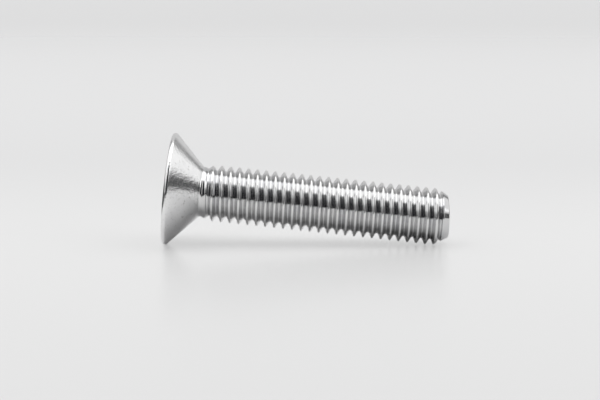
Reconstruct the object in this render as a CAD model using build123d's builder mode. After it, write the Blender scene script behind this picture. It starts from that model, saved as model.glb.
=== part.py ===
from build123d import *
from math import asin, atan2, cos, degrees, hypot, radians, sin, tan
import os

os.makedirs("parts", exist_ok=True)

# A countersunk machine bolt with a hexagon socket, turned and formed as one piece.
# Its shank stands at the height of the thread's crests, and the thread's grooves are
# too fine for this solid. The bolt lies as it comes to rest: the rim of its head and
# the edge of its tip's bevel touch the surface at Z = 0, and its tip points along +X.
# A station is a distance along the bolt's axis, counted from the head's flat face.

# Overall
length = 39.45  # along the axis, from the flat face to the tip's end

# Head
head_diameter = 15.7
rim_height = 0.55  # from the flat face to the start of the cone
rim_round = 0.15
cone_angle = 92.0  # full angle of the countersunk cone

# Hexagon socket
socket_flats = 5.0  # across the flats
socket_corner_round = 0.2
socket_depth = 3.2
socket_point_depth = 0.6  # of the shallow cone that the punch leaves at the bottom
socket_mouth = 6.1  # diameter of the bevel round the mouth
socket_bevel_angle = 90.0

# Thread, as far as the solid holds it
pitch = 1.25
crest_diameter = 7.94
runout_turns = 1.4  # over which the crests rise from the neck to their full height

# Neck, the unthreaded stretch of blank under the head
neck_length = 0.25
neck_fillet = 0.4
blank_allowance = 0.14  # the blank is this much thinner than the pitch diameter

# Tip
tip_diameter = 5.9
tip_bevel_angle = 30.0  # from the axis
tip_edge_round = 0.12

# Radii and stations along the axis
pitch_diameter = crest_diameter - 0.6495 * pitch  # by the proportions of a metric thread
head_radius = head_diameter / 2
crest_radius = crest_diameter / 2
tip_radius = tip_diameter / 2
neck_radius = (pitch_diameter - blank_allowance) / 2
cone_end = rim_height + (head_radius - neck_radius) / tan(radians(cone_angle / 2))
runout_start = cone_end + neck_length
runout_end = runout_start + runout_turns * pitch
bevel_start = length - (crest_radius - tip_radius) / tan(radians(tip_bevel_angle))

# Resting pose. In the upright plane through the axis, the surface is the line that
# touches the round between rim and cone from outside, and the edge of the tip's bevel.
round_trim = rim_round * tan(radians(cone_angle / 4))
round_centre = rim_height - round_trim
touch_run = bevel_start - round_centre
touch_drop = head_radius - rim_round - crest_radius
tilt = atan2(touch_drop, touch_run) + asin(rim_round / hypot(touch_run, touch_drop))
axis_height = round_centre * sin(tilt) + (head_radius - rim_round) * cos(tilt) + rim_round

# The blank was cut off a little out of square, so the tip's end stands upright while the
# bolt lies. The box round the lying bolt runs from the rim's round, low at the back of
# the head, to this end, and the origin is under its middle.
reach_back = (head_radius - rim_round) * sin(tilt) + rim_round * (1 - cos(tilt))
reach_ahead = length * cos(tilt)
head_centre = Vector((reach_back - reach_ahead) / 2, 0, axis_height)
axis_direction = Vector(cos(tilt), 0, -sin(tilt))

# Planes: one through the axis for the turned profile, with X along the axis, one across
# the axis at the flat face, with Z towards the tip, and the upright one of the tip's end.
profile_plane = Plane(origin=head_centre, x_dir=axis_direction, z_dir=(0, -1, 0))
face_plane = Plane(origin=head_centre, x_dir=(0, 1, 0), z_dir=axis_direction)
end_plane = Plane(origin=head_centre + axis_direction * length, z_dir=(1, 0, 0))
bolt_axis = Axis(head_centre, axis_direction)

with BuildPart() as bolt:
    # Head, neck, the rise to the crests, crests and bevel, turned about the axis. The
    # bevel runs on past the tip until the end is cut.
    overrun = tip_radius / 2
    overrun_radius = tip_radius - overrun * tan(radians(tip_bevel_angle))
    with BuildSketch(profile_plane) as profile:
        with BuildLine():
            Polyline(
                (0, 0),
                (0, head_radius),
                (rim_height, head_radius),
                (cone_end, neck_radius),
                (runout_start, neck_radius),
                (runout_end, crest_radius),
                (bevel_start, crest_radius),
                (length + overrun, overrun_radius),
                (length + overrun, 0),
                close=True,
            )
        make_face()
        rim_corners = profile.vertices().group_by(Axis.Y)[-1]
        fillet(rim_corners, rim_round)
        neck_corner = profile.vertices().sort_by_distance((cone_end, neck_radius))[0]
        fillet(neck_corner, neck_fillet)
    revolve(axis=bolt_axis)

    # The tip's end, cut upright, and its edge
    split(bisect_by=end_plane, keep=Keep.BOTTOM)
    fillet(bolt.faces().sort_by(Axis.X)[-1].edges(), tip_edge_round)

    # Hexagon socket, its corners rounded as the punch's are
    with BuildSketch(face_plane) as hexagon:
        RegularPolygon(socket_flats / 2, 6, major_radius=False)
        fillet(hexagon.vertices(), socket_corner_round)
    extrude(amount=socket_depth, mode=Mode.SUBTRACT)

    # Bevel round the socket's mouth and the shallow cone at its bottom
    bevel_depth = (socket_mouth - socket_flats) / 2 / tan(radians(socket_bevel_angle / 2))
    with BuildSketch(profile_plane):
        with BuildLine():
            Polyline(
                (0, 0),
                (0, socket_mouth / 2),
                (bevel_depth, socket_flats / 2),
                (socket_depth, socket_flats / 2),
                (socket_depth + socket_point_depth, 0),
                close=True,
            )
        make_face()
    revolve(axis=bolt_axis, mode=Mode.SUBTRACT)

bolt.part.label = "countersunk_bolt"
export_step(bolt.part, "parts/countersunk_bolt.step")

print("tilt of the axis in degrees", round(degrees(tilt), 3))
print("centre of the flat face", head_centre, "axis", axis_direction)
print("stations: neck", round(cone_end, 3), "run-out", round(runout_start, 3), round(runout_end, 3))
print("tip bevel", round(bevel_start, 3), "neck radius", round(neck_radius, 3))
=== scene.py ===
from math import asin, atan2, cos, hypot, pi, radians, sin, sqrt, tan

import bpy
from mathutils import Matrix, Vector, noise


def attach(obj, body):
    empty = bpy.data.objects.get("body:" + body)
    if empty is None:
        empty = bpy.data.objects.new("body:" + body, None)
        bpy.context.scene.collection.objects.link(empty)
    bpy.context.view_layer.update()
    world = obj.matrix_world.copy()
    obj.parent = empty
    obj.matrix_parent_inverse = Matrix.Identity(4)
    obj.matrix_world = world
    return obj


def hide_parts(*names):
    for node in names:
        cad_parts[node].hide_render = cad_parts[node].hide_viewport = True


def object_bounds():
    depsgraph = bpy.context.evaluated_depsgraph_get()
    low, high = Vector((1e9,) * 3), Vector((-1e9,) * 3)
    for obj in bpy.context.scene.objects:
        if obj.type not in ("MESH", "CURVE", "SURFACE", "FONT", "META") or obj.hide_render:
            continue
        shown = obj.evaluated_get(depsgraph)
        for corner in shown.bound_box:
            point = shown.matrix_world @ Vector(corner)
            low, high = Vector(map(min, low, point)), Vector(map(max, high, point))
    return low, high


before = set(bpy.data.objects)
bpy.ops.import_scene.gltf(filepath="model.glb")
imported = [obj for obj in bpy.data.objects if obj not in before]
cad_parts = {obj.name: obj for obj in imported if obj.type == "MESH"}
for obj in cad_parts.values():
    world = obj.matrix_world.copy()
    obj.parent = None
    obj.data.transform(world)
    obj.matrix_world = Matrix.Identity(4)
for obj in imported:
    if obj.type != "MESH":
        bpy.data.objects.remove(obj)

cad_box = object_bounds()

MM = 0.001

# The bolt's sizes, in millimetres and degrees. A station is a distance along the
# bolt's axis from the head's flat face towards the tip.
LENGTH = 39.45
HEAD_RADIUS = 7.85
RIM_HEIGHT = 0.55
RIM_ROUND = 0.15
FACE_EDGE_ROUND = 0.42  # worn rounder than the edge towards the cone
CONE_HALF_ANGLE = 46.0
NECK_FILLET = 0.4
NECK_LENGTH = 0.25
BLANK_ALLOWANCE = 0.14  # the blank is this much thinner than the pitch diameter
SOCKET_INRADIUS = 2.5
SOCKET_HALF_SIDE = 30.0  # turned from the middle of the hexagon's side to its corner
SOCKET_CORNER_ROUND = 0.2
SOCKET_DEPTH = 3.2
SOCKET_POINT_DEPTH = 0.6  # of the shallow cone that the punch leaves at the bottom
SOCKET_MOUTH_RADIUS = 3.05
TIP_RADIUS = 2.95
TIP_BEVEL_ANGLE = 30.0
TIP_EDGE_ROUND = 0.12

# Thread, right-hand. The first full crest passes straight above the axis at FIRST_CREST.
# Its depth and the pitch line's depth go by the proportions of a metric thread.
PITCH = 1.25
CREST_RADIUS = 3.97
THREAD_DEPTH = 0.6134 * PITCH
PITCH_LINE_DEPTH = 0.6495 * PITCH / 2
CREST_ROUND = 0.16
FLANK_HALF_ANGLE = 30.0
FIRST_CREST = 7.295
RUNOUT_TURNS = 1.4
RUNOUT_LEAD = 0.3  # the grooves begin this far before the neck's end
BEVEL_BLEND = 0.05  # the edge between thread and bevel is rounded over about this

# Small dents of handling along the rim
DENT_DEPTH = 0.04
DENT_SIZE = 0.7
DENT_REACH = 0.35
DENT_SQUEEZE = 2  # the dents are this many times shorter along the axis than round it

# Mesh density. Where rings are given as shares, they run in the order of the build.
COLUMNS = 144
ARC_STEP = 15.0
ROUND_STEPS = 4  # from the middle of a crest or root to its flank
FLANK_STEPS = (1 / 3, 2 / 3)
SOCKET_BOTTOM_RINGS = (0.35, 0.7, 0.97)  # shares of the socket's radius
SOCKET_WALL_RINGS = (0.97, 0.66, 0.33, 0.0)  # shares of the wall's depth
FACE_RINGS = 6
CONE_RINGS = 14
TIP_EDGE_RINGS = 5
FLAT_END_RINGS = (0.75, 0.5, 0.25)  # shares of the end's radius
GRID_LEAD = 0.16  # the thread's rows begin this far before the cone's end
GRID_CLEARANCE = 0.03  # rows that come closer to an end ring than this join it
SPARE_TURNS = 3  # of rows beyond each end of the thread, for the end rings to cut off
SHARP_ANGLE = 38.0  # edges that bend more than this aren't smoothed

# Sizes that follow, by the same rules as the solid's
NECK_RADIUS = CREST_RADIUS - PITCH_LINE_DEPTH - BLANK_ALLOWANCE / 2
CONE_END = RIM_HEIGHT + (HEAD_RADIUS - NECK_RADIUS) / tan(radians(CONE_HALF_ANGLE))
RUNOUT_START = CONE_END + NECK_LENGTH
RUNOUT_END = RUNOUT_START + RUNOUT_TURNS * PITCH
GRID_START = CONE_END - GRID_LEAD
BEVEL_START = LENGTH - (CREST_RADIUS - TIP_RADIUS) / tan(radians(TIP_BEVEL_ANGLE))
ROUND_CENTRE = RIM_HEIGHT - RIM_ROUND * tan(radians(CONE_HALF_ANGLE / 2))

# The lying bolt's pose, as the solid has it. The round between rim and cone and the edge
# of the tip's bevel touch the floor, and the tip's upright end is where the CAD box ends.
TOUCH_RUN = BEVEL_START - ROUND_CENTRE
TOUCH_DROP = HEAD_RADIUS - RIM_ROUND - CREST_RADIUS
TILT = atan2(TOUCH_DROP, TOUCH_RUN) + asin(RIM_ROUND / hypot(TOUCH_RUN, TOUCH_DROP))
AXIS = Vector((cos(TILT), 0, -sin(TILT)))
UPWARD = Vector((sin(TILT), 0, cos(TILT)))
NEARWARD = AXIS.cross(UPWARD)
FACE_CENTRE = Vector((
    cad_box[1][0] / MM - LENGTH * cos(TILT),
    0,
    ROUND_CENTRE * sin(TILT) + (HEAD_RADIUS - RIM_ROUND) * cos(TILT) + RIM_ROUND,
))


def place(station, radius, turn):
    """The point at a station and radius, turned right-hand about the axis from straight up."""
    outward = UPWARD * cos(2 * pi * turn) + NEARWARD * sin(2 * pi * turn)
    return (FACE_CENTRE + AXIS * station + outward * radius) * MM


def mix(a, b, share):
    """The point a share of the way from a to b."""
    return tuple(p + (q - p) * share for p, q in zip(a, b))


def arc(centre, radius, start, end):
    """Points of an arc as (station, radius), its angles counted from outward to the tip."""
    steps = max(1, round(abs(end - start) / ARC_STEP))
    angles = [radians(start + (end - start) * i / steps) for i in range(steps + 1)]
    return [(centre[0] + radius * sin(a), centre[1] + radius * cos(a)) for a in angles]


def half_round(radius, slope):
    """Half a crest's round, or of a root's turned over, as (run, drop) down to this slope."""
    angles = [slope * i / ROUND_STEPS for i in range(ROUND_STEPS + 1)]
    return [(radius * sin(a), radius * (1 - cos(a))) for a in angles]


def thread_profile():
    """One pitch of the thread as (offset from the crest's middle, depth below the crest).

    Straight flanks join a round crest to a round root, whose radius is what they leave
    room for.
    """
    slope = radians(90 - FLANK_HALF_ANGLE)
    crest_drop = CREST_ROUND * (1 - cos(slope))
    straight_run = (THREAD_DEPTH - crest_drop) / tan(slope)
    room = PITCH / 2 - CREST_ROUND * sin(slope) - straight_run
    root_round = room / (sin(slope) - (1 - cos(slope)) / tan(slope))
    crest = half_round(CREST_ROUND, slope)
    root = [(PITCH / 2 - run, THREAD_DEPTH - rise) for run, rise in half_round(root_round, slope)]
    flank = [mix(crest[-1], root[-1], share) for share in FLANK_STEPS]
    half = crest + flank + root[::-1]
    mirrored = [(PITCH - offset, depth) for offset, depth in reversed(half[1:-1])]
    return half + mirrored


def neck_profile(station):
    """Radius of the cone, the neck's fillet and the blank, before the thread is rolled."""
    half = radians(CONE_HALF_ANGLE)
    fillet_centre = CONE_END + NECK_FILLET * tan(half / 2)
    fillet_start = fillet_centre - NECK_FILLET * sin(half)
    if station < fillet_start:
        return NECK_RADIUS + (CONE_END - station) * tan(half)
    if station < fillet_centre:
        back = fillet_centre - station
        return NECK_RADIUS + NECK_FILLET - sqrt(NECK_FILLET**2 - back**2)
    return NECK_RADIUS


def bevel_radius(station):
    """Radius of the tip's bevel."""
    return TIP_RADIUS + (LENGTH - station) * tan(radians(TIP_BEVEL_ANGLE))


def soft_lesser(a, b, blend):
    """The lesser of two radii, with the corner between them rounded."""
    mean, gap = (a + b) / 2, a - b
    return mean - sqrt(gap * gap + blend * blend) / 2


def thread_radius(station, depth):
    """Radius of the threaded shank where the full thread would be this deep."""
    start = RUNOUT_START - RUNOUT_LEAD
    formed = min(1, max(0, (station - start) / (RUNOUT_END - start)))
    radius = neck_profile(station) + (CREST_RADIUS - depth - NECK_RADIUS) * formed
    return soft_lesser(radius, bevel_radius(station), BEVEL_BLEND)


def socket_radius(turn):
    """Radius of the hexagon socket's wall, its corners rounded."""
    side = 2 * SOCKET_HALF_SIDE
    from_middle = (turn * 360 + SOCKET_HALF_SIDE) % side - SOCKET_HALF_SIDE
    wall = SOCKET_INRADIUS / cos(radians(from_middle))
    corner_distance = SOCKET_INRADIUS / cos(radians(SOCKET_HALF_SIDE))
    centre = corner_distance - SOCKET_CORNER_ROUND / cos(radians(SOCKET_HALF_SIDE))
    off_corner = radians(SOCKET_HALF_SIDE - abs(from_middle))
    reach = SOCKET_CORNER_ROUND**2 - (centre * sin(off_corner)) ** 2
    if reach <= 0:
        return wall
    return min(wall, centre * cos(off_corner) + sqrt(reach))


class Lathe:
    """A closed mesh whose rings of COLUMNS vertices follow one another along the bolt.

    A section is a function that gives a ring's (station, radius) for a turn.
    """

    def __init__(self):
        self.points = []
        self.faces = []

    def add_point(self, station, radius, turn):
        self.points.append(place(station, radius, turn))
        return len(self.points) - 1

    def add_middle(self, station):
        """One vertex on the axis, as a ring in which it comes COLUMNS times."""
        return [self.add_point(station, 0, 0)] * COLUMNS

    def add_ring(self, section):
        return [self.add_point(*section(k / COLUMNS), k / COLUMNS) for k in range(COLUMNS)]

    def add_face(self, corners):
        """A face, unless too few of its corners are different vertices."""
        distinct = [c for i, c in enumerate(corners) if c != corners[i - 1]]
        if len(distinct) > 2:
            self.faces.append(distinct)

    def join_rings(self, ring, following):
        for k in range(COLUMNS):
            n = (k + 1) % COLUMNS
            self.add_face((ring[k], ring[n], following[n], following[k]))

    def add_rings(self, first, sections):
        """Rings one after another, joined on to the first one. Returns the last."""
        for section in sections:
            ring = self.add_ring(section)
            self.join_rings(first, ring)
            first = ring
        return first


def circle(station, radius):
    return lambda turn: (station, radius)


def socket_edge(turn):
    """Where the socket's wall meets its bottom."""
    return SOCKET_DEPTH, socket_radius(turn)


def socket_wall(share):
    """A ring of the socket's wall, at a share of the way down from the mouth's bevel.

    The bevel runs at 45 degrees, so it is as deep as the mouth is wider than the wall.
    """
    def section(turn):
        radius = socket_radius(turn)
        bevel_depth = SOCKET_MOUTH_RADIUS - radius
        return bevel_depth + (SOCKET_DEPTH - bevel_depth) * share, radius
    return section


def socket_sections():
    """The socket from its bottom out to its mouth."""
    slope = SOCKET_POINT_DEPTH / SOCKET_INRADIUS
    radii = [SOCKET_INRADIUS * share for share in SOCKET_BOTTOM_RINGS]
    bottom = [circle(SOCKET_DEPTH + (SOCKET_INRADIUS - radius) * slope, radius) for radius in radii]
    return bottom + [socket_edge] + [socket_wall(share) for share in SOCKET_WALL_RINGS]


def face_sections():
    """The flat face, from the socket's mouth to the rim's round."""
    width = HEAD_RADIUS - FACE_EDGE_ROUND - SOCKET_MOUTH_RADIUS
    radii = [SOCKET_MOUTH_RADIUS + width * i / FACE_RINGS for i in range(FACE_RINGS)]
    return [circle(0, radius) for radius in radii]


def worn(station, radius):
    """A ring of the head that is a little dented near the rim."""
    share = max(0, 1 - (HEAD_RADIUS - radius) / DENT_REACH)

    def section(turn):
        around = Vector((cos(2 * pi * turn), sin(2 * pi * turn), 0)) * HEAD_RADIUS
        around.z = station * DENT_SQUEEZE
        dent = 0.5 + 0.5 * noise.noise(around / DENT_SIZE)
        return station, radius - DENT_DEPTH * share * dent
    return section


def rim_and_cone_sections():
    """The rim with its two rounds, and the cone as far as the thread's rows."""
    face_round = arc((FACE_EDGE_ROUND, HEAD_RADIUS - FACE_EDGE_ROUND), FACE_EDGE_ROUND, -90, 0)
    cone_round = arc((ROUND_CENTRE, HEAD_RADIUS - RIM_ROUND), RIM_ROUND, 0, CONE_HALF_ANGLE)
    start = cone_round[-1][0]
    run = GRID_START - start
    stations = [start + run * i / CONE_RINGS for i in range(1, CONE_RINGS + 1)]
    cone = [(station, neck_profile(station)) for station in stations]
    return [worn(station, radius) for station, radius in face_round + cone_round + cone]


def end_station(radius, turn):
    """Station of the end at a radius, as it is cut upright and so out of square."""
    return LENGTH - radius * tan(TILT) * cos(2 * pi * turn)


def end_corner(turn):
    """Where the bevel would meet the end without the round, as (station, radius)."""
    radius = TIP_RADIUS / (1 - tan(TILT) * cos(2 * pi * turn) * tan(radians(TIP_BEVEL_ANGLE)))
    return end_station(radius, turn), radius


def grid_end(turn):
    """Where the thread's rows stop, just before the round of the end's edge."""
    station = end_corner(turn)[0] - TIP_EDGE_ROUND
    return station, bevel_radius(station)


def tip_edge(share):
    """A ring of the round of the end's edge, at a share of the way over it."""
    def section(turn):
        corner = end_corner(turn)
        inner = corner[1] - TIP_EDGE_ROUND
        after = (end_station(inner, turn), inner)
        return mix(mix(grid_end(turn), corner, share), mix(corner, after, share), share)
    return section


def flat_end(share):
    """A ring of the end, at a share of its flat part's radius."""
    def section(turn):
        radius = (end_corner(turn)[1] - TIP_EDGE_ROUND) * share
        return end_station(radius, turn), radius
    return section


def tip_sections():
    """The round of the end's edge and the end, ready for its middle."""
    edge = [tip_edge(i / TIP_EDGE_RINGS) for i in range(1, TIP_EDGE_RINGS + 1)]
    return edge + [flat_end(share) for share in FLAT_END_RINGS]


def add_thread(lathe, first):
    """The threaded shank in rows that follow the helix, from the first ring to the last.

    Rows that reach past either ring are cut off there. Returns the last ring.
    """
    profile = thread_profile()
    rows = len(profile)
    turns_before = int((FIRST_CREST - GRID_START) / PITCH) + SPARE_TURNS
    turns_after = int((LENGTH - FIRST_CREST) / PITCH) + SPARE_TURNS
    last = lathe.add_ring(grid_end)
    made = {}

    def vertex(row, column):
        if column == COLUMNS:
            row, column = row + rows, 0
        offset, depth = profile[row % rows]
        station = FIRST_CREST + PITCH * (row // rows + column / COLUMNS) + offset
        if station <= GRID_START + GRID_CLEARANCE:
            return first[column]
        if station >= grid_end(column / COLUMNS)[0] - GRID_CLEARANCE:
            return last[column]
        if (row, column) not in made:
            radius = thread_radius(station, depth)
            made[row, column] = lathe.add_point(station, radius, column / COLUMNS)
        return made[row, column]

    for row in range(-turns_before * rows, turns_after * rows):
        for k in range(COLUMNS):
            near = (vertex(row, k), vertex(row, k + 1))
            far = (vertex(row + 1, k + 1), vertex(row + 1, k))
            lathe.add_face(near + far)
    return last


def add_object(name, data):
    """A new object in the scene, with this mesh, lamp or camera as its data."""
    thing = bpy.data.objects.new(name, data)
    bpy.context.collection.objects.link(thing)
    return thing


def build_bolt():
    """The whole bolt as one closed mesh, from the socket's bottom round to the tip's end."""
    lathe = Lathe()
    ring = lathe.add_middle(SOCKET_DEPTH + SOCKET_POINT_DEPTH)
    head = socket_sections() + face_sections() + rim_and_cone_sections()
    ring = lathe.add_rings(ring, head)
    ring = add_thread(lathe, ring)
    ring = lathe.add_rings(ring, tip_sections())
    lathe.join_rings(ring, lathe.add_middle(LENGTH))
    mesh = bpy.data.meshes.new("bolt_body")
    mesh.from_pydata(lathe.points, [], lathe.faces)
    mesh.validate()
    mesh.shade_smooth()
    mesh.set_sharp_from_angle(angle=radians(SHARP_ANGLE))
    return add_object("bolt_body", mesh)


class Nodes:
    """Short calls for adding and wiring the nodes of one tree."""

    def __init__(self, tree):
        self.tree = tree
        tree.nodes.clear()

    def add(self, kind, values=None, **settings):
        node = self.tree.nodes.new(kind)
        for name, value in settings.items():
            setattr(node, name, value)
        for name, value in (values or {}).items():
            self.feed(node.inputs[name], value)
        return node

    def feed(self, socket, value):
        """Gives a socket its value, which is a number, a colour or another node's output."""
        if isinstance(value, bpy.types.NodeSocket):
            self.tree.links.new(value, socket)
        else:
            socket.default_value = value

    def math(self, operation, a, b=0.0):
        return self.add("ShaderNodeMath", {0: a, 1: b}, operation=operation).outputs[0]

    def rise(self, value, low, high):
        """0 below low, 1 above high, and smooth between them."""
        values = {"Value": value, "From Min": low, "From Max": high}
        node = self.add("ShaderNodeMapRange", values, interpolation_type="SMOOTHSTEP")
        return node.outputs["Result"]

    def rest(self, share):
        """What a share leaves of 1."""
        return self.math("SUBTRACT", 1.0, share)

    def fall(self, value, low, high):
        """1 below low, 0 above high, and smooth between them."""
        return self.rest(self.rise(value, low, high))

    def band(self, value, rise, fall):
        """1 between a rise and a fall, which are given as (low, high)."""
        return self.math("MULTIPLY", self.rise(value, *rise), self.fall(value, *fall))

    def stretch(self, value, old, new):
        """The value with its old range, given as (low, high), turned evenly into a new one."""
        ranges = {"From Min": old[0], "From Max": old[1], "To Min": new[0], "To Max": new[1]}
        return self.add("ShaderNodeMapRange", {"Value": value, **ranges}).outputs["Result"]

    def blend(self, share, a, b):
        """The colour a share of the way from a to b.

        The Mix node's colour sockets share their names with others, so they go by number.
        """
        node = self.add("ShaderNodeMix", data_type="RGBA")
        factor, first, second = (node.inputs[i] for i in (0, 6, 7))
        self.feed(factor, share)
        self.feed(first, a)
        self.feed(second, b)
        return node.outputs[2]

    def noise(self, vector, scale, detail, roughness):
        values = {"Vector": vector, "Scale": scale, "Detail": detail, "Roughness": roughness}
        return self.add("ShaderNodeTexNoise", values).outputs["Fac"]

    def surface(self, values):
        """The shader of a material, with these values, and the tree's output."""
        shader = self.add("ShaderNodeBsdfPrincipled", values)
        self.add("ShaderNodeOutputMaterial", {"Surface": shader.outputs[0]})


def new_material(name):
    material = bpy.data.materials.new(name)
    material.use_nodes = True
    return material, Nodes(material.node_tree)


def grey(tone):
    return (tone, tone, tone, 1)


# Plated steel. Its tones are given in pairs where they drift between two in soft clouds.
# The crests' lighter tone is a painted highlight, and the grooves' darker tones are painted shade
# that drifts between two in soft clouds
CREST_HIGHLIGHT_TONE = grey(0.73)
GROOVE_SHADE_TONES = (grey(0.65), (0.592, 0.594, 0.602, 1))
# The head's tones are lighter than the thread's: painted light, as if more light fell on the head,
# drifting between two in soft clouds
HEAD_LIT_TONES = (grey(0.84), (0.78, 0.78, 0.785, 1))
SOCKET_TONE = (0.62, 0.62, 0.625, 1)
PIT_TONE = (0.46, 0.45, 0.44, 1)

# Its noises, as scale, detail and roughness, and the ranges of them that show
CLOUD_NOISE = (350.0, 3.0, 0.55)
CLOUD_RANGE = (0.35, 0.68)
PIT_NOISE = (3600.0, 2.0, 0.55)
PIT_RANGE = (0.60, 0.76)
GRAIN_NOISE = (4200.0, 4.0, 0.65)
GRAIN_RANGE = (0.3, 0.7)
MARK_NOISE = (2900.0, 3.0, 0.65)

# Its roughness, and how strongly its forging marks show, with their depth in metres
ROUGHNESS_RANGE = (0.08, 0.18)
SOCKET_ROUGHNESS = 0.16  # added inside the socket
THREAD_MARKS = 0.12
HEAD_MARKS = 0.68  # added on the head
FACE_SMOOTHING = 0.62  # taken off on its flat face
MARK_DEPTH = 0.000042

# Where it changes, in millimetres: two along the axis and two outward from it
FACE_GRAIN_FADE = (0, 0.15)
# Where the head's grain and its painted light end along the axis
HEAD_GRAIN_AND_LIGHT_FADE = (3.9, 5.2)
# Where the crests' painted highlight gives way to the grooves' painted shade
GROOVE_SHADE_FADE = (3.6, 3.9)
SOCKET_FADE = (2.95, 3.1)


def station_and_radius(nodes, point):
    """The station and the distance from the bolt's axis of a shaded point, in metres."""
    split = nodes.add("ShaderNodeSeparateXYZ", {"Vector": point})
    ahead = nodes.math("SUBTRACT", split.outputs["X"], FACE_CENTRE.x * MM)
    above = nodes.math("SUBTRACT", split.outputs["Z"], FACE_CENTRE.z * MM)

    def along(direction):
        in_x = nodes.math("MULTIPLY", ahead, direction.x)
        in_z = nodes.math("MULTIPLY", above, direction.z)
        return nodes.math("ADD", in_x, in_z)

    def squared(distance):
        return nodes.math("POWER", distance, 2.0)

    square = nodes.math("ADD", squared(split.outputs["Y"]), squared(along(UPWARD)))
    return along(AXIS), nodes.math("SQRT", square)


def plated_steel():
    """Bright zinc plate on formed steel, with forging marks on the head, painted light on the head,
    a painted highlight on the crests and painted shade in the grooves.
    """
    material, nodes = new_material("plated_steel")
    point = nodes.add("ShaderNodeTexCoord").outputs["Object"]
    station, radius = station_and_radius(nodes, point)

    def below(distance, fade):
        low, high = fade
        return nodes.fall(distance, low * MM, high * MM)

    on_head = below(station, HEAD_GRAIN_AND_LIGHT_FADE)
    on_face = below(station, FACE_GRAIN_FADE)
    # Painted shade in the grooves and a painted highlight on the crests, set by the distance from
    # the axis
    groove_shade = below(radius, GROOVE_SHADE_FADE)
    in_socket = nodes.math("MULTIPLY", on_head, below(radius, SOCKET_FADE))
    cloud = nodes.rise(nodes.noise(point, *CLOUD_NOISE), *CLOUD_RANGE)
    pits = nodes.rise(nodes.noise(point, *PIT_NOISE), *PIT_RANGE)

    # The crests take their painted highlight and the grooves their painted shade
    metal = nodes.blend(groove_shade, CREST_HIGHLIGHT_TONE, nodes.blend(cloud, *GROOVE_SHADE_TONES))
    # The head takes its lighter tones, painted light as if more light fell on it
    metal = nodes.blend(on_head, metal, nodes.blend(cloud, *HEAD_LIT_TONES))
    metal = nodes.blend(in_socket, metal, SOCKET_TONE)
    metal = nodes.blend(nodes.math("MULTIPLY", pits, on_head), metal, PIT_TONE)

    polish = nodes.stretch(nodes.noise(point, *GRAIN_NOISE), GRAIN_RANGE, ROUGHNESS_RANGE)
    dulled = nodes.math("MULTIPLY", in_socket, SOCKET_ROUGHNESS)
    added = nodes.math("MULTIPLY", on_head, HEAD_MARKS)
    smoothed = nodes.math("MULTIPLY", on_face, FACE_SMOOTHING)
    marks = nodes.math("ADD", nodes.math("SUBTRACT", added, smoothed), THREAD_MARKS)
    bump = nodes.add("ShaderNodeBump", {
        "Height": nodes.noise(point, *MARK_NOISE),
        "Strength": marks,
        "Distance": MARK_DEPTH,
    })
    nodes.surface({
        "Base Color": metal,
        "Metallic": 1.0,
        "Roughness": nodes.math("ADD", polish, dulled),
        "Normal": bump.outputs["Normal"],
    })
    return material


# The studio's floor is a pale sheet, in metres. It is painted darker away from the camera, a
# painted falloff of light. The camera sees it go on, but the metal sees it end at both sides of
# SHEET_MIDDLE and in front, between the two distances of each pair.
FLOOR_SIZE = 6.0
SHEET_MIDDLE = 0.016
SHEET_SIDE = (0.048, 0.064)
SHEET_FRONT = (0.044, 0.064)
# The painted falloff of light: the tone goes from SHEET_TONE to BEHIND_TONE over NEAR_CHANGE, and
# on to FAR_TONE over FAR_CHANGE
NEAR_CHANGE = (-0.01, 0.1)
FAR_CHANGE = (0.15, 1.0)
SHEET_TONE = grey(1)
BEHIND_TONE = (0.885, 0.885, 0.89, 1)
FAR_TONE = (0.75, 0.75, 0.755, 1)
BESIDE_TONE = grey(0.08)
BEFORE_TONE = grey(0.03)

# The metal sees the sheet lit by the studio, and the camera sees it partly glow by itself
SHEET_COLOUR = 0.77
SHEET_SEEN_COLOUR = 0.31
SHEET_SEEN_GLOW = 0.385
SHEET_SEEN_SPECULAR = 0.5
SHEET_ROUGHNESS = 0.25
SHEET_IOR = 1.35


def pale_sheet():
    """A pale, slightly glossy sheet with a painted falloff of light: paler near the bolt than far
    behind it.
    """
    material, nodes = new_material("pale_sheet")
    point = nodes.add("ShaderNodeTexCoord").outputs["Object"]
    split = nodes.add("ShaderNodeSeparateXYZ", {"Vector": point})
    across, depth = split.outputs["X"], split.outputs["Y"]
    # Painted falloff of light: paler near the bolt, darker behind it and far behind it
    painted_falloff_near = nodes.blend(nodes.rise(depth, *NEAR_CHANGE), SHEET_TONE, BEHIND_TONE)
    painted_falloff_tone = nodes.blend(nodes.rise(depth, *FAR_CHANGE), painted_falloff_near, FAR_TONE)
    aside = nodes.math("ABSOLUTE", nodes.math("SUBTRACT", across, SHEET_MIDDLE))
    beside = nodes.rise(aside, *SHEET_SIDE)
    before = nodes.rise(nodes.math("MULTIPLY", depth, -1.0), *SHEET_FRONT)
    camera_ray = nodes.add("ShaderNodeLightPath").outputs["Is Camera Ray"]
    off_sheet = nodes.math("MULTIPLY", nodes.math("MAXIMUM", beside, before),
                           nodes.rest(camera_ray))
    tone = nodes.blend(off_sheet, painted_falloff_tone, nodes.blend(before, BESIDE_TONE, BEFORE_TONE))
    level = nodes.stretch(camera_ray, (0, 1), (SHEET_COLOUR, SHEET_SEEN_COLOUR))
    colour = nodes.add("ShaderNodeVectorMath", {0: tone, "Scale": level}, operation="SCALE")
    nodes.surface({
        "Base Color": colour.outputs[0],
        "Roughness": SHEET_ROUGHNESS,
        "IOR": SHEET_IOR,
        "Specular IOR Level": nodes.math("MULTIPLY", camera_ray, SHEET_SEEN_SPECULAR),
        "Emission Color": tone,
        "Emission Strength": nodes.math("MULTIPLY", camera_ray, SHEET_SEEN_GLOW),
    })
    return material


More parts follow.
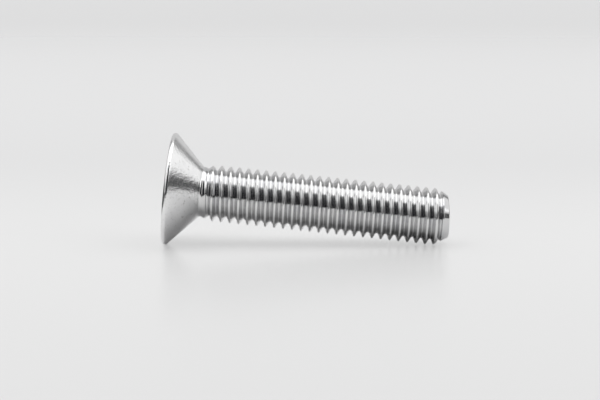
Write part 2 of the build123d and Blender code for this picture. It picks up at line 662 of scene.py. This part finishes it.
def add_floor():
    half = FLOOR_SIZE / 2
    corners = [(-half, -half, 0), (half, -half, 0), (half, half, 0), (-half, half, 0)]
    mesh = bpy.data.meshes.new("floor")
    mesh.from_pydata(corners, [], [(0, 1, 2, 3)])
    mesh.materials.append(pale_sheet())
    floor = add_object("floor", mesh)


def in_radians(*angles):
    return tuple(radians(angle) for angle in angles)


# The room that the metal mirrors, as tones by direction. Angles are turned to either side
# from the camera, heights and sideways places are those of a direction 1 long, and each
# pair of them is where a soft edge starts and ends.
WALL_TONE = grey(0.68)

# Brighter wings on the camera's half of the room, from a little above the floor
WING_BACK = in_radians(75, 85)
WING_FOOT = (0.2, 0.45)
WING_CHANGE = (-0.1, 0.1)
WING_TONES = (grey(1.0), grey(1.65))

# A dark gap low down at each side
GAP_FRONT = in_radians(55, 70)
GAP_BACK = in_radians(120, 140)
GAP_TOP = (0.185, 0.225)
GAP_TONE = (0.09, 0.09, 0.092, 1)

# A dim seam behind each lamp
SEAM_FRONT = in_radians(131, 136)
SEAM_BACK = in_radians(147, 153)
SEAM_TONE = grey(0.31)

# A dark side round the camera, its middle turned a little to the right
DARK_MIDDLE = radians(6)
DARK_EDGE = in_radians(32, 48)
DARK_TONE = (0.02, 0.02, 0.024, 1)

# A flat, bright panel overhead, its edges given for a height of 1
PANEL_FRONT = (-0.62, -0.30)
PANEL_BACK = (0.42, 0.6)
PANEL_SIDE = (0.8, 1.0)
PANEL_TONE = grey(2.08)
LEAST_UP = 0.01  # lower directions count as this high, as they never reach the panel

# What the camera sees in place of the room
BACKDROP_TONE = (0.76, 0.76, 0.765, 1)


def add_world():
    """The room round the bolt, which the camera sees as a plain pale backdrop."""
    world = bpy.data.worlds.new("studio")
    world.use_nodes = True
    bpy.context.scene.world = world
    nodes = Nodes(world.node_tree)
    direction = nodes.add("ShaderNodeTexCoord").outputs["Generated"]
    split = nodes.add("ShaderNodeSeparateXYZ", {"Vector": direction})
    across, ahead, up = (split.outputs[name] for name in "XYZ")
    azimuth = nodes.math("ARCTAN2", across, nodes.math("MULTIPLY", ahead, -1.0))
    side_angle = nodes.math("ABSOLUTE", azimuth)

    wing = nodes.math("MULTIPLY", nodes.fall(side_angle, *WING_BACK), nodes.rise(up, *WING_FOOT))
    wing_tone = nodes.blend(nodes.rise(across, *WING_CHANGE), *WING_TONES)
    room = nodes.blend(wing, WALL_TONE, wing_tone)

    beside = nodes.band(side_angle, GAP_FRONT, GAP_BACK)
    gap = nodes.math("MULTIPLY", nodes.fall(up, *GAP_TOP), beside)
    room = nodes.blend(gap, room, GAP_TONE)

    room = nodes.blend(nodes.band(side_angle, SEAM_FRONT, SEAM_BACK), room, SEAM_TONE)

    off_middle = nodes.math("ABSOLUTE", nodes.math("SUBTRACT", azimuth, DARK_MIDDLE))
    room = nodes.blend(nodes.fall(off_middle, *DARK_EDGE), room, DARK_TONE)

    height = nodes.math("MAXIMUM", up, LEAST_UP)
    aside = nodes.math("DIVIDE", nodes.math("ABSOLUTE", across), height)
    behind = nodes.math("DIVIDE", ahead, height)
    lengthwise = nodes.band(behind, PANEL_FRONT, PANEL_BACK)
    panel = nodes.math("MULTIPLY", lengthwise, nodes.fall(aside, *PANEL_SIDE))
    room = nodes.blend(panel, room, PANEL_TONE)

    camera_ray = nodes.add("ShaderNodeLightPath").outputs["Is Camera Ray"]
    seen = nodes.blend(camera_ray, room, BACKDROP_TONE)
    background = nodes.add("ShaderNodeBackground", {"Color": seen, "Strength": 1.0})
    nodes.add("ShaderNodeOutputWorld", {"Surface": background.outputs[0]})


def facing(position, target, roll=0.0):
    """A matrix at a position whose -Z points at the target, for a lamp or the camera."""
    back = (position - target).normalized()
    right = Vector((0, 0, 1)).cross(back).normalized()
    turn = Matrix((right, back.cross(right), back)).transposed().to_4x4()
    return Matrix.Translation(position) @ turn @ Matrix.Rotation(roll, 4, "Z")


# Lamps, in metres: one on each side of the bolt, a little behind it
LAMP_ASIDE = 0.485
LAMP_BEHIND = 0.12
LAMP_HEIGHT = 0.26
LAMP_TARGET = Vector((0, 0, 0.01))
LAMP_SIZE = (0.6, 0.3)
RIGHT_BRIGHTNESS = 0.38
LEFT_BRIGHTNESS = 0.42


def add_softbox(name, side, brightness):
    """A rectangular lamp whose face shows at the given brightness."""
    width, height = LAMP_SIZE
    data = bpy.data.lights.new(name, "AREA")
    data.shape = "RECTANGLE"
    data.size = width
    data.size_y = height
    data.energy = brightness * pi * width * height
    lamp = add_object(name, data)
    centre = Vector((side * LAMP_ASIDE, LAMP_BEHIND, LAMP_HEIGHT))
    lamp.matrix_world = facing(centre, LAMP_TARGET)


# Camera, in millimetres for its lens and sensor, and otherwise in metres and degrees
LENS = 85.0
SENSOR_WIDTH = 36.0
CLIP_START = 0.01
CAMERA_DISTANCE = 0.1986
CAMERA_ELEVATION = 9.0
CAMERA_YAW = 0.2
CAMERA_ROLL = 0.1
AIM = Vector((-0.0007, 0, 0.00625))


def add_camera():
    data = bpy.data.cameras.new("camera")
    data.lens = LENS
    data.sensor_width = SENSOR_WIDTH
    data.clip_start = CLIP_START
    camera = add_object("camera", data)
    flat = CAMERA_DISTANCE * cos(radians(CAMERA_ELEVATION))
    away = Vector((
        flat * sin(radians(CAMERA_YAW)),
        -flat * cos(radians(CAMERA_YAW)),
        CAMERA_DISTANCE * sin(radians(CAMERA_ELEVATION)),
    ))
    camera.matrix_world = facing(AIM + away, AIM, radians(CAMERA_ROLL))
    bpy.context.scene.camera = camera


bolt = build_bolt()
bolt.data.materials.append(plated_steel())
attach(bolt, "root")
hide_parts("countersunk_bolt")

add_floor()
add_world()
add_softbox("right", 1, RIGHT_BRIGHTNESS)
add_softbox("left", -1, LEFT_BRIGHTNESS)
add_camera()
bpy.context.scene.view_settings.view_transform = "Standard"
